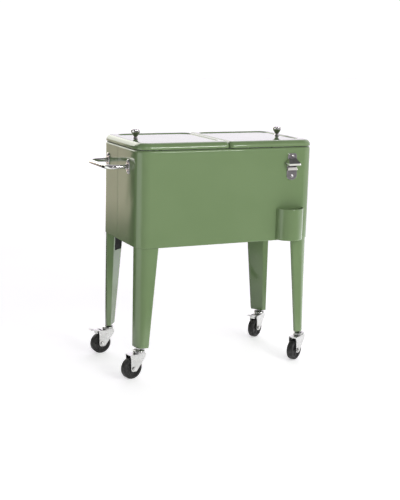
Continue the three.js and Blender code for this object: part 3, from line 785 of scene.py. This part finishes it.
# ------------------------------------------------ opener and cap bin
def bottle_opener():
    low, high = span("bottle_opener")
    x = (low.x + high.x) / 2
    seat = high.y
    base = 3
    lip = 714
    reach = seat - low.y
    flare = (high.x - low.x) / 2
    plate_corners = [(x - 21, low.z, 17), (x + 21, low.z, 17), (x + 17, high.z, 9), (x - 17, high.z, 9)]
    rings = [[(u, seat - out, v) for u, v in rounded_outline(plate_corners, inset, 7)] for inset, out in (
        (0, 0), (0, base - 1.2), (0.35, base - 0.5), (1.1, base))]
    opener = new_object("wall_opener", *loft(rings))

    def half_form(name, side, corners):
        """A convex half; a corner is (half width, distance out, height above the lip)."""
        return hull(name, [(x + side * half, seat - out, lip + up) for half, out, up in corners])

    def bowed(name, ends, middle, bow):
        """Two halves that meet in the middle, where what stands out is drawn back by bow."""
        overlap = 0.02
        inner = [(-overlap, out - bow * (out > 5), up) for out, up in middle]
        first, second = (half_form(name, side, ends + inner) for side in (-1, 1))
        return combine(first, [second], "UNION")

    lip_half = 23
    front = [(reach, 0.6), (reach - 1.5, 6.5), (reach - 3, 0), (0.8, 0)]
    crest = [(2.5, 25), (0.8, 25)]
    wings = [(flare, 7, 9), (flare, 0.8, 9)] + [(13, out, up) for out, up in crest]
    hood = bowed("hood", [(lip_half, out, up) for out, up in front] + wings, front + crest, 1.3)
    inside = [(reach - 3.6, -1), (reach - 5.6, 3), (-1, -1)]
    roof = [(3, 17), (-1, 17)]
    walls = [(lip_half - 4, out, up) for out, up in inside] + [(12, out, up) for out, up in roof]
    both = [(side * half, out, up) for half, out, up in walls for side in (-1, 1)]
    combine(hood, [half_form("hollow", 1, both)], "DIFFERENCE")
    soften(hood, 0.9, 3, 25)
    side = [(20, 0.8, -18), (20, 8.9, -17.5), (17, 6.4, -8), (16, 2.5, -5.5), (16, 0.8, -5.5)]
    tooth = bowed("tooth", side, [(out, up) for _, out, up in side], 0.5)
    soften(tooth, 0.7, 2, 25)
    combine(opener, [hood, tooth], "UNION")
    holes = []
    for node in ("opener_screw_top", "opener_screw_bottom"):
        screw_low, screw_high = span(node)
        height = (screw_low.z + screw_high.z) / 2
        holes.append(screw_hole(shift(x, seat, height) @ facing((0, -1, 0))))
    combine(opener, holes, "DIFFERENCE")
    return finish_mesh(opener)


add_piece(bottle_opener(), "cabinet", "chrome", "bottle_opener")
for row in ("top", "bottom"):
    node = f"opener_screw_{row}"
    low, high = span(node)
    across = (low + high) / 2
    screw = cross_screw(f"wall_screw_{row}", 5.5, 3)
    screw.data.transform(shift(across.x, low.y + 3, across.z) @ facing((0, -1, 0)))
    add_piece(finish_mesh(screw), "cabinet", "chrome", node)


def cap_bin():
    low, high = span("cap_catcher")
    x = (low.x + high.x) / 2
    half = (high.x - low.x) / 2
    bulge = high.y - low.y
    radius = (half**2 + bulge**2) / (2 * bulge)
    away = low.y + radius
    steps, flat_steps = 36, 8

    def ring(inset, z):
        r = radius - inset
        wall = high.y - inset
        reach = asin(min(1.0, sqrt(max(r * r - (away - wall) ** 2, 0)) / r))
        angles = [reach * (2 * step / steps - 1) for step in range(steps + 1)]
        arc = [(x + r * sin(angle), away - r * cos(angle), z) for angle in angles]
        start, end = arc[-1][0], arc[0][0]
        return arc + [(start + (end - start) * step / flat_steps, wall, z) for step in range(1, flat_steps)]

    rings = [ring(2.6, low.z), ring(1.0, low.z + 0.5), ring(0.25, low.z + 1.5), ring(0, low.z + 3)]
    rings += [ring(0, high.z - 1.2), ring(0.3, high.z - 0.4), ring(1.0, high.z), ring(1.8, high.z)]
    rings += [ring(2.4, high.z - 0.5), ring(2.5, high.z - 1.4), ring(2.3, high.z - 4.4)]
    rings += [ring(1.3, high.z - 5), ring(SHEET, low.z + 4), ring(1.9, low.z + 2.2), ring(3.4, low.z + 1.3)]
    return finish_mesh(new_object("cap_bin", *loft(rings)))


add_piece(cap_bin(), "cabinet", "green_paint", "cap_catcher")


# ------------------------------------------------ legs, drawn with the outer corner at 0, 0
LEG_CORNERS = [(0, 0, 44), (91, 0, 8), (27, 49, 7), (0, 49, 4)]
FOOT_WIDTH = 0.59
LEG_SHEET = 1.5


def leg_template():
    low, high = span("leg_front_left")
    tall = high.z - low.z

    def ring(inset, z):
        narrow = 1 - (high.z - z) / tall * (1 - FOOT_WIDTH)
        return [(u * narrow, v, z) for u, v in rounded_outline(LEG_CORNERS, inset, 8)]

    rings = [ring(12, low.z), ring(3.0, low.z), ring(1.1, low.z + 0.6), ring(0.3, low.z + 1.9)]
    rings += [ring(0, low.z + 4)] + [ring(0, low.z + tall * part) for part in (0.25, 0.5, 0.75)]
    rings += [ring(0, high.z - 0.3), ring(0.3, high.z), ring(1.2, high.z), ring(LEG_SHEET, high.z - 0.4)]
    rings += [ring(LEG_SHEET, low.z + tall * part) for part in (0.75, 0.5, 0.25)]
    rings += [ring(LEG_SHEET, low.z + 6), ring(2.4, low.z + 3.6), ring(12, low.z + 3)]
    leg = new_object("leg_template", *loft(rings))
    start_x, start_y, _ = LEG_CORNERS[2]
    run = Vector((LEG_CORNERS[1][0] - start_x, -start_y, 0))
    sill = span("leg_socket_front_left")[0].z + 8
    window = rounded_outline(rectangle(7, run.length - 25, sill, high.z + 9, [3, 3, 0.5, 0.5]), 0, 4)
    place = shift(start_x, start_y) @ Matrix.Rotation(atan2(run.y, run.x), 4, "Z")
    return combine(leg, [new_object("opening", *prism(window, -12, 6), place)], "DIFFERENCE")


LEG = leg_template()
PLACES = ("front_left", "front_right", "rear_left", "rear_right")
for place in PLACES:
    low, high = span(f"leg_{place}")
    end, side = place.split("_")
    corner = Vector((low.x if side == "left" else high.x, low.y if end == "front" else high.y, 0))
    flip = Matrix.Diagonal((1 if side == "left" else -1, 1 if end == "front" else -1, 1, 1))
    leg = finish_mesh(copy_of(LEG, f"pressed_leg_{place}", shift(*corner) @ flip))
    add_piece(leg, "cabinet", "green_paint", f"leg_{place}")
bpy.data.objects.remove(LEG)


# ------------------------------------------------ casters, drawn about the swivel axis, trailing to +X
TRAIL = 30
WHEEL_RADIUS = 37.5
FORK_INSIDE = 14.5
FORK_OUTSIDE = 16.5
BRAKE_X, BRAKE_Z = 38, 79.6
AXLE = shift(TRAIL, 0, WHEEL_RADIUS) @ LYING_ACROSS
BRAKE_PIN = shift(BRAKE_X, 0, BRAKE_Z) @ LYING_ACROSS


def caster_mount():
    profile = [(0, 79), (5.2, 79), (6, 79.5), (6, 80.2), (5.4, 80.5), (4, 80.5), (4, 92.6), (18.6, 92.6)]
    profile += [(20.4, 92.9), (21, 93.9), (20.8, 95.4), (19.6, 96.6), (16, 97.4), (11.2, 98.6), (10.2, 100)]
    profile += [(10, 101.4), (10, 103.7), (0, 103.7)]
    return new_object("mount_template", *turned(profile, 40))


def fork_side(low, high):
    front = [(-19, 86, 2), (-18, 76, 6), (TRAIL - 11, 27, 9)]
    back = [(TRAIL + 11, 28, 9), (TRAIL + 12, 70, 4), (TRAIL + 14, 86, 2)]
    return new_object("fork_side", *prism(rounded_outline(front + back, 0, 4), low, high))


def caster_fork(braked):
    crown_end = 27 if braked else 43
    plan = rounded_outline(rectangle(-20, crown_end, -FORK_OUTSIDE, FORK_OUTSIDE, [13, 2, 2, 13]), 0, 5)
    crown = new_object("fork_template", *prism(plan, 83.5, 86, "xyz"))
    sides = [fork_side(-FORK_OUTSIDE, -FORK_INSIDE), fork_side(FORK_INSIDE, FORK_OUTSIDE)]
    race = [(0, 84.5), (15, 84.5), (19.4, 86), (20, 87.6), (20, 90.6), (19.2, 91.8), (17.8, 92.1)]
    race += [(0, 92.1)]
    combine(crown, [*sides, new_object("race", *turned(race, 40))], "UNION")
    soften(crown, 0.7, 2, 40)
    tools = [new_object("pin_hole", *turned([(4.4, 77), (4.4, 99)], 24))]
    tools.append(new_object("rivet_seat", *turned([(6.6, 77), (6.6, 81.2)], 24)))
    for place, radius in [(AXLE, 4.3), (BRAKE_PIN, 2.3)][: 2 if braked else 1]:
        tools.append(new_object("hole", *turned([(radius, -25), (radius, 25)], 20), place))
    return combine(crown, tools, "DIFFERENCE")


def caster_wheel():
    half = 12
    hub = [(4.4, 0.3), (5.0, 0), (9.5, 0), (10.5, 0.8), (11.4, 3.2), (13, 3.8), (24.5, 3.8), (26.2, 3.2)]
    tread = [(27.2, 1.0), (28.2, 0.3), (30, 0.1), (33.2, 0.5), (35.0, 1.5), (36.2, 3.0), (36.5, 3.4)]
    tread += [(36.9, 3.4), (37.35, 4.2), (WHEEL_RADIUS, 6)]
    side = [(radius, half - drop) for radius, drop in hub + tread]
    other = [(radius, -h) for radius, h in reversed(side)]

    spokes, narrowness, rib_height = 6, 6, 2.6

    def ribs(radius, h, angle):
        web = max(0.0, cos(spokes * angle)) ** narrowness
        raised = rib_height * web if 11.8 < radius < 26 else 0
        return radius, h + (raised if h > 0 else -raised)

    count = 72
    points, faces = turned([*side, (WHEEL_RADIUS, 0), *other], count, ribs)
    last = len(points) - count
    faces = [face for face in faces if len(face) == 4]
    faces += [(last + i, last + (i + 1) % count, (i + 1) % count, i) for i in range(count)]
    return new_object("wheel_template", points, faces, AXLE)


def axle_bolt():
    shaft = new_object("axle_template", *turned([(4, -21.5), (4, 19.5)], 24))
    hexagon = [(6.9 * cos(pi / 3 * k), 6.9 * sin(pi / 3 * k)) for k in range(6)]
    ends = []
    for low, high in ((FORK_OUTSIDE + 0.9, 21.0), (-20.4, -FORK_OUTSIDE - 0.9)):
        ends.append(soften(new_object("hexagon", *prism(hexagon, low, high, "xyz")), 0.5, 2, 30))
    for low, high in ((FORK_OUTSIDE + 0.3, FORK_OUTSIDE + 1.1), (-FORK_OUTSIDE - 1.1, -FORK_OUTSIDE - 0.3)):
        ring = [(7.0, low), (7.3, low + 0.2), (7.3, high - 0.2), (7.0, high)]
        ends.append(new_object("washer", *turned(ring, 28)))
    combine(shaft, ends, "UNION")
    shaft.data.transform(AXLE)
    return shaft


def brake_lever():
    half = 12.5
    under = [(30, 82.6, 0.6), (42, 82.6, 2), (74, 90.5, 1)]
    over = [(76, 93, 1), (60, 91, 8), (32, 85, 0.8)]
    profile = rounded_outline(under + over, 0, 4)
    lever = soften(new_object("lever_template", *prism(profile, -half, half)), 0.7, 2, 40)
    hub = new_object("hub", *turned([(4, -half), (4, half)], 24), BRAKE_PIN)
    pin = new_object("pin", *turned([(2, -FORK_OUTSIDE), (2, FORK_OUTSIDE)], 16), BRAKE_PIN)
    shoe = block("shoe", (42, 51), (-9.5, 9.5), (75.5, 85))
    ridges = []
    pad_x, pad_z, slope = 60, 91.1, 0.118
    for x in (62, 66, 70):
        z = pad_z + (x - pad_x) * slope
        outline = [(x - 0.9, z - 1), (x + 0.9, z - 0.8), (x + 0.7, z + 0.55), (x - 0.7, z + 0.4)]
        ridges.append(new_object("ridge", *prism(outline, -10, 10)))
    return combine(lever, [hub, shoe, pin, *ridges], "UNION")


TEMPLATES = {
    "caster_mount": caster_mount(),
    "wheel": caster_wheel(),
    "axle": axle_bolt(),
    "lever": brake_lever(),
    "fork_braked": caster_fork(True),
    "fork_plain": caster_fork(False),
}
for place in PLACES:
    stem = (middle(f"caster_mount_{place}") - CENTRE) / MM
    hub = (middle(f"wheel_{place}") - CENTRE) / MM
    heading = atan2(hub.y - stem.y, hub.x - stem.x)
    seat = shift(stem.x, stem.y) @ Matrix.Rotation(heading, 4, "Z")
    braked = place.startswith("rear")
    caster = f"caster_{place}"
    parts = [
        ("caster_mount", "stem", "cabinet", "zinc_plate", "caster_mount"),
        ("fork_braked" if braked else "fork_plain", "yoke", caster, "zinc_plate", "fork"),
        ("axle", "axle_bolt", caster, "zinc_plate", "axle"),
        ("wheel", "caster_wheel", f"wheel_{place}", "wheel_rubber", "wheel"),
    ]
    if braked:
        parts.append(("lever", "brake_tab", f"brake_{place}", "zinc_plate", "brake_lever"))
    for template, name, body, slot, node in parts:
        piece = finish_mesh(copy_of(TEMPLATES[template], f"{name}_{place}", seat))
        add_piece(piece, body, slot, f"{node}_{place}")
for template in TEMPLATES.values():
    bpy.data.objects.remove(template)


# ------------------------------------------------ CAD parts that stay get their finishes
KEPT = {
    "green_paint": ["base_pan"],
    "foam": ["insulation_tub", "lid_left_foam", "lid_right_foam"],
    "galvanised_steel": ["center_beam"] + [f"hinge_{part}_{side}" for part in ("leaf", "pin", "bracket")
                                           for side in ("left", "right")],
    "rubber": ["lid_left_gasket", "lid_right_gasket"],
    "black_plastic": ["drain_spout"] + [f"leg_socket_{place}" for place in PLACES],
}
for slot, nodes in KEPT.items():
    for node in nodes:
        for holder in bpy.data.objects[node].material_slots:
            holder.material = FINISHES[slot]


# ------------------------------------------------ floor, light and camera
def toward(heading, elevation):
    """The direction at a compass heading and an elevation, both in degrees."""
    turn, lift = radians(heading), radians(elevation)
    return Vector((sin(turn) * cos(lift), cos(turn) * cos(lift), sin(lift)))


def level_square(name, half):
    corners = [(-half, -half, 0), (half, -half, 0), (half, half, 0), (-half, half, 0)]
    return new_object(name, corners, [(0, 1, 2, 3)])


def hide_from(obj, rays):
    for kind in rays:
        setattr(obj, f"visible_{kind}", False)


def card_shading(obj):
    """An empty material on a card that only reflections see."""
    material = bpy.data.materials.new(obj.name)
    material.use_nodes = True
    material.node_tree.nodes.clear()
    obj.data.materials.append(material)
    hide_from(obj, ("camera", "diffuse", "shadow", "transmission", "volume_scatter"))
    return Shading(material.node_tree)


def floor():
    obj = level_square("floor", 20)
    white = (1, 1, 1, 1)
    make = Finish("floor", IOR=1.4, Specular_IOR_Level=0.2, Emission_Color=white, Emission_Strength=0.45)
    cloud = make.spread(make.noise(1.5, 3), 0.3, 0.7)
    make.colour(make.mix(cloud, (0.90, 0.90, 0.90), (0.92, 0.92, 0.92)))
    make.roughness(make.spread(make.noise(4, 3), 0.3, 0.7, 0.6, 0.75))
    obj.data.materials.append(make.material)
    obj.data.transform(Matrix.Translation(CENTRE))


# The studio is a base colour with patches over it, each painted over the ones before. A patch is its
# colour, the heading and elevation of its middle, and the angles from there where it starts and is full.
MIRRORED_BASE = (0.22, 0.21, 0.22)
FAR_STUDIO = [
    ((0.10, 0.10, 0.10), 0, 90, 55, 30),
    ((0.85, 0.85, 0.85), 85, 5, 54, 38),
    ((0.88, 0.88, 0.84), 148, 22, 14, 9),
    ((1.35, 1.40, 1.36), 265, -5, 26, 18),
    ((1.29, 1.22, 1.33), 20, 10, 58, 41),
    ((3.00, 2.94, 2.74), 345, 22, 30, 20),
    ((1.10, 0.93, 0.78), 336, -14, 24, 14),
    ((0.02, 0.02, 0.02), 309, -10, 17, 12),
]
NEAR_FLOOR = [
    ((1.55, 1.56, 1.62), 78, -10, 45, 28),
    ((1.10, 1.14, 1.08), 265, -5, 26, 18),
    ((0.10, 0.10, 0.09), 338, -10, 46, 36),
]
LIGHT_BASE = (0.62, 0.62, 0.62)
LIGHT_PATCHES = [
    ((0.30, 0.30, 0.30), 0, 90, 50, 25),
    ((0.07, 0.07, 0.07), 278, 20, 90, 45),
    ((0.95, 0.95, 0.95), 160, 25, 60, 25),
    ((1.50, 1.40, 1.58), 20, 12, 55, 30),
]


def painted(make, direction, base, patches):
    """The colour that a studio shows in a direction."""
    colour = base
    for value, heading, elevation, start, full in patches:
        near = make.vector("DOT_PRODUCT", direction, toward(heading, elevation))
        amount = make.spread(near, cos(radians(start)), cos(radians(full)))
        colour = make.mix(amount, colour, value)
    return colour


def reflected_floor():
    """The studio floor as reflections see it: clear under the cart, then as the studio round it."""
    obj = level_square("floor_card", 18)
    make = card_shading(obj)
    place = make.new("TexCoord", "Object")
    away = make.vector("LENGTH", place)
    outward = make.vector("NORMALIZE", place, output="Vector")
    near = painted(make, outward, MIRRORED_BASE, NEAR_FLOOR)
    far = painted(make, outward, MIRRORED_BASE, FAR_STUDIO)
    glow = make.light("Emission", make.mix(make.spread(away, 1.9, 3.9), near, far))
    clear = make.new("BsdfTransparent")
    make.surface("Material", make.mix_shader(make.spread(away, 0.5, 1.0), clear, glow))
    obj.location = CENTRE + Vector((0, 0, 0.004))


def dark_flag():
    """A black upright flag behind the handle end, only there for reflections."""
    ends = [(-0.868, 1.292), (-1.60, 0.53)]
    obj = new_object("dark_flag", [(x, y, z) for z in (0.01, 1.5) for x, y in ends], [(0, 1, 3, 2)])
    make = card_shading(obj)
    make.surface("Material", make.light("Emission", (0.02, 0.02, 0.02)))
    obj.location = CENTRE


def dark_cloth():
    """A black cloth under the cart that keeps light off the rear legs; never seen itself."""
    corners = [(-0.62, -0.12), (0.40, -0.12), (0.40, 0.75), (-0.95, 0.75), (-0.95, 0.05)]
    obj = new_object("dark_cloth", [(x, y, 0.006) for x, y in corners], [tuple(range(len(corners)))])
    make = Finish("dark_cloth")
    weave = make.noise(300, 2)
    make.colour(make.mix(weave, (0.01, 0.01, 0.01), (0.02, 0.02, 0.02)))
    make.roughness(make.spread(weave, 0.3, 0.7, 0.8, 0.95))
    behind = make.new("NewGeometry", "Backfacing")
    one_sided = make.mix_shader(behind, make.shader.outputs[0], make.new("BsdfTransparent"))
    make.links.new(one_sided, make.nodes["Material Output"].inputs["Surface"])
    obj.data.materials.append(make.material)
    hide_from(obj, ("camera", "glossy", "shadow", "transmission", "volume_scatter"))
    obj.location = CENTRE


def softbox(name, heading, elevation, distance, size, power, mirrored=True):
    light = bpy.data.lights.new(name, "AREA")
    light.shape = "RECTANGLE"
    light.size, light.size_y = size
    light.energy = power
    obj = bpy.data.objects.new(name, light)
    away = toward(heading, elevation)
    chest_height = Vector((0, 0, 0.5))
    obj.location = CENTRE + chest_height + away * distance
    obj.rotation_euler = (-away).to_track_quat("-Z", "Y").to_euler()
    obj.visible_camera = False
    obj.visible_glossy = mirrored
    bpy.context.scene.collection.objects.link(obj)


def sky():
    """Pure white to the eye; one studio as light and another in reflections."""
    world = bpy.data.worlds.new("studio")
    bpy.context.scene.world = world
    world.use_nodes = True
    make = Shading(world.node_tree)
    make.nodes.clear()
    direction = make.new("TexCoord", "Generated")
    shed = painted(make, direction, LIGHT_BASE, LIGHT_PATCHES)
    mirrored = painted(make, direction, MIRRORED_BASE, FAR_STUDIO)
    lit = make.light("Background", make.mix(make.new("LightPath", "Is Glossy Ray"), shed, mirrored))
    white = make.light("Background", (1, 1, 1), 1.05)
    make.surface("World", make.mix_shader(make.new("LightPath", "Is Camera Ray"), lit, white))


def camera():
    yaw, pitch, roll = radians(25.231), radians(11.948), radians(1.4635)
    ahead = Vector((sin(yaw) * cos(pitch), cos(yaw) * cos(pitch), -sin(pitch)))
    level_right = Vector((cos(yaw), -sin(yaw), 0))
    up = level_right.cross(ahead)
    right = level_right * cos(roll) + up * sin(roll)
    upright = -level_right * sin(roll) + up * cos(roll)
    data = bpy.data.cameras.new("camera")
    data.lens = 75.41
    data.sensor_width = 36
    obj = bpy.data.objects.new("camera", data)
    turn = Matrix((right, upright, -ahead)).transposed().to_4x4()
    stand = CENTRE + Vector((-1.5906, -3.3311, 1.1716))
    obj.matrix_world = Matrix.Translation(stand) @ turn
    bpy.context.scene.collection.objects.link(obj)
    bpy.context.scene.camera = obj


floor()
sky()
reflected_floor()
softbox("front_softbox", 161, 24, 3.6, (1.1, 0.4), 24)
softbox("side_softbox", 204, 24, 3.6, (0.5, 0.4), 6)
dark_flag()
dark_cloth()
softbox("top_softbox", 60, 78, 3.0, (2.4, 2.4), 9, False)
camera()
bpy.context.scene.view_settings.view_transform = "Standard"
bpy.context.scene.view_settings.look = "None"
